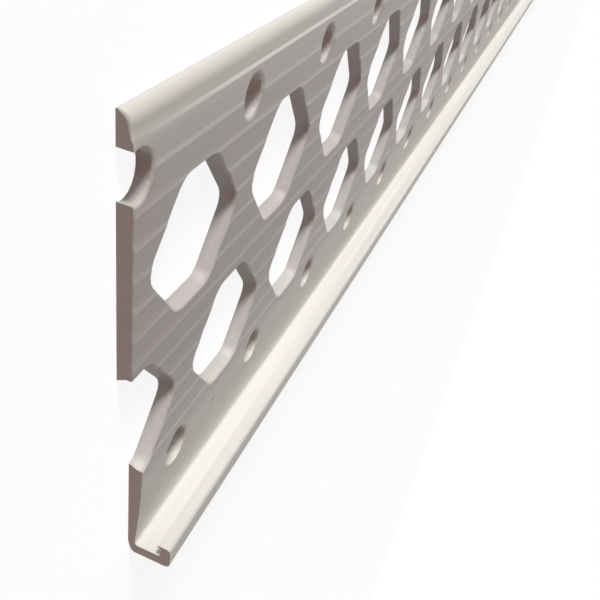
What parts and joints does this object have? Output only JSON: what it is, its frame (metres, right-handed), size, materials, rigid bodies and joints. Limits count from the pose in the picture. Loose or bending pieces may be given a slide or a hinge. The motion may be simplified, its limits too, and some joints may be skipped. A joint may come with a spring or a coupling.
{
  "type": "plaster stop bead",
  "caption": "Straight extruded plastic stop bead for a thin coat of plaster: a flat perforated wing with hexagonal keys, a thin rim, and an upturned stop nose.",
  "frame": {"origin": "middle of the length and of the height, at the level of the wing's back face", "axes": "+X along the length, +Y up the wing from the stop to the rim, +Z out of the ribbed front face"},
  "size_m": [2.5, 0.0442, 0.0044],
  "materials": {
    "rigid_pvc": "extruded white rigid PVC with a satin surface, slightly warm"
  },
  "bodies": {
    "root": {"stop_bead": "rigid_pvc"}
  },
  "joints": []
}
